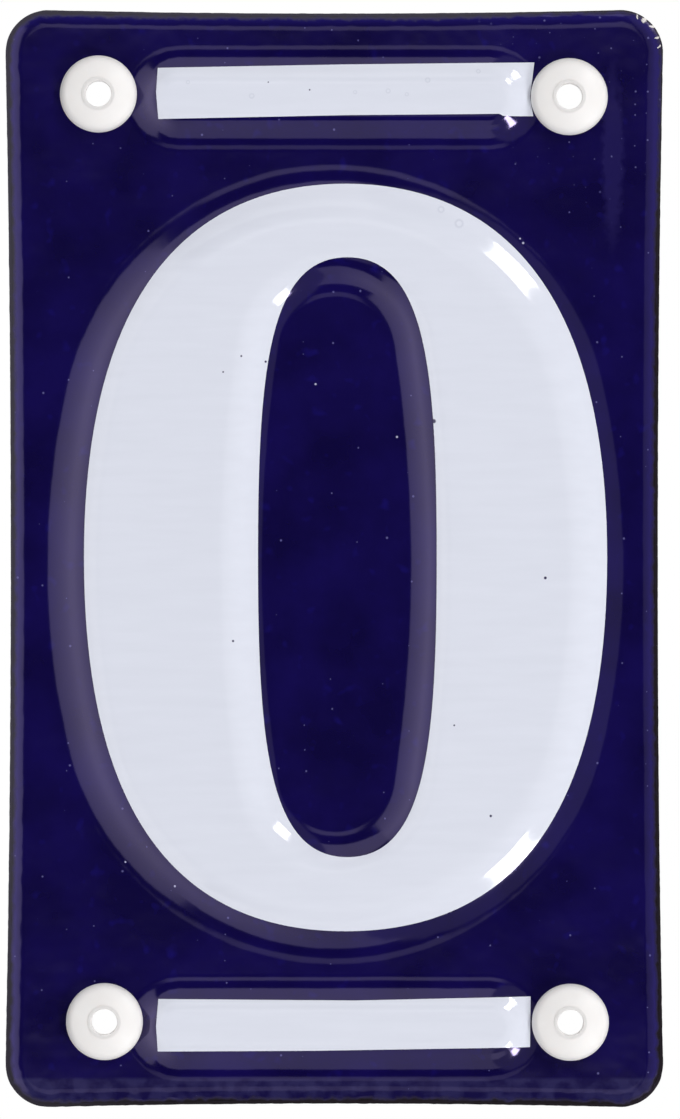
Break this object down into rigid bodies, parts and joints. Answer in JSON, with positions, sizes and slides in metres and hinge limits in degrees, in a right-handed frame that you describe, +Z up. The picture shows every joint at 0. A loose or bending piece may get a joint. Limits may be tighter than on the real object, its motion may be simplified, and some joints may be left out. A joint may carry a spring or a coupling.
{
  "type": "house number plaque",
  "caption": "Pressed and enamelled steel house number plaque with a raised numeral between raised bars, fixed to a wall by screws through nylon ferrules in its corners.",
  "frame": {"origin": "middle of the screw pattern on the wall plane, behind the middle of the plate", "axes": "+Z up along the long side, +X to the right seen from the front, front toward -Y, wall plane Y = 0"},
  "size_m": [0.0598, 0.003, 0.0998],
  "materials": {
    "blue_enamel": "gloss fired vitreous enamel on steel sheet, cobalt blue",
    "white_enamel": "gloss fired vitreous enamel, white",
    "nylon": "moulded nylon, natural white, slightly translucent"
  },
  "bodies": {
    "root": {"plate": "blue_enamel", "numeral_enamel": "white_enamel", "upper_bar_enamel": "white_enamel", "lower_bar_enamel": "white_enamel", "ferrule_upper_left": "nylon", "ferrule_upper_right": "nylon", "ferrule_lower_left": "nylon", "ferrule_lower_right": "nylon"}
  },
  "joints": []
}
